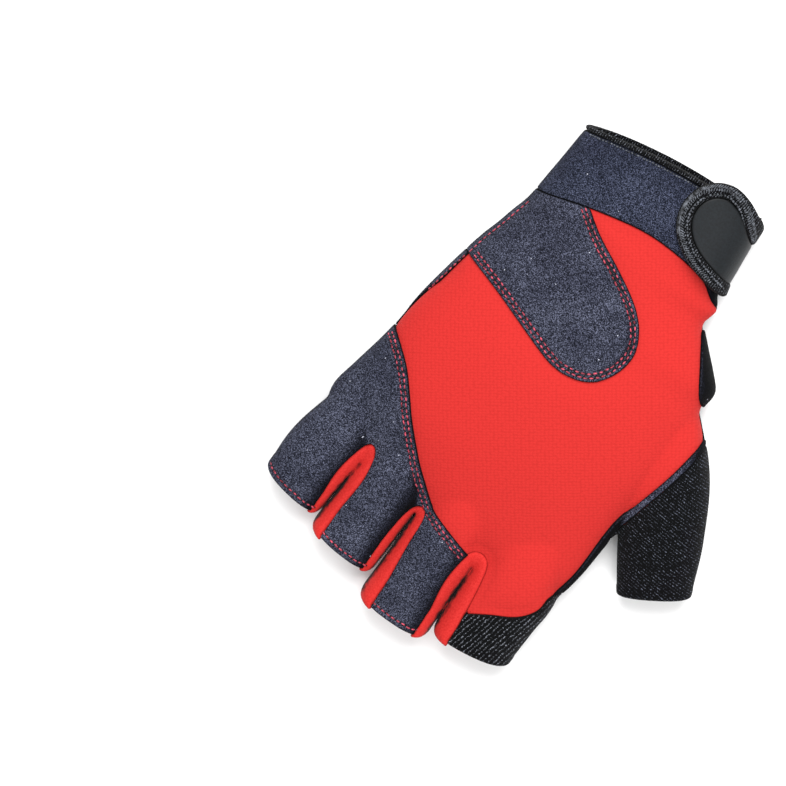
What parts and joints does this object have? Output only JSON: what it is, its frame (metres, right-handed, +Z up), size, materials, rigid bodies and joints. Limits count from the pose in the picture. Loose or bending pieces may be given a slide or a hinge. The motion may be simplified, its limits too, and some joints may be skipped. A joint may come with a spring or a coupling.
{
  "type": "half-finger fitness glove",
  "caption": "Right-hand half-finger training glove with a red knit back, suede palm and finger panels, padded palm patches, stretch gussets and a wrap wrist cuff with a closing strap.",
  "frame": {"origin": "centre of the bounding box on the surface that the glove lies on, palm down", "axes": "+X from the thumb side to the little-finger side, +Y from the cuff to the fingertips, +Z up out of the back of the hand"},
  "size_m": [0.1364, 0.1786, 0.0257],
  "materials": {
    "red_pique_knit": "matt fine piqué knit",
    "red_mesh_knit": "matt coarse mesh knit",
    "red_spandex": "smooth stretch knit, faint sheen",
    "grey_suede": "napped synthetic suede with pale flecks",
    "navy_neoprene": "fine knit over foam rubber",
    "black_ribbed_terry": "ribbed terry",
    "black_twill_terry": "fine diagonal terry",
    "black_binding": "ribbed edge binding",
    "black_strap": "smooth, slightly glossy strap face"
  },
  "bodies": {
    "root": {"back_panel": "red_pique_knit", "wrist_tongue": "grey_suede", "finger_backs": "grey_suede", "index_tip_band": "black_ribbed_terry", "thumb_back": "black_twill_terry", "palm_panel": "grey_suede", "palm_mesh": "red_mesh_knit", "zigzag_patch": "grey_suede", "thumb_heel_patch": "grey_suede", "outer_heel_patch": "grey_suede", "fourchette_little_ring": "red_spandex", "fourchette_ring_middle": "red_spandex", "fourchette_middle_index": "red_spandex", "cuff": "navy_neoprene", "cuff_binding": "black_binding", "strap_face": "black_strap", "strap_binding": "black_binding"}
  },
  "joints": []
}
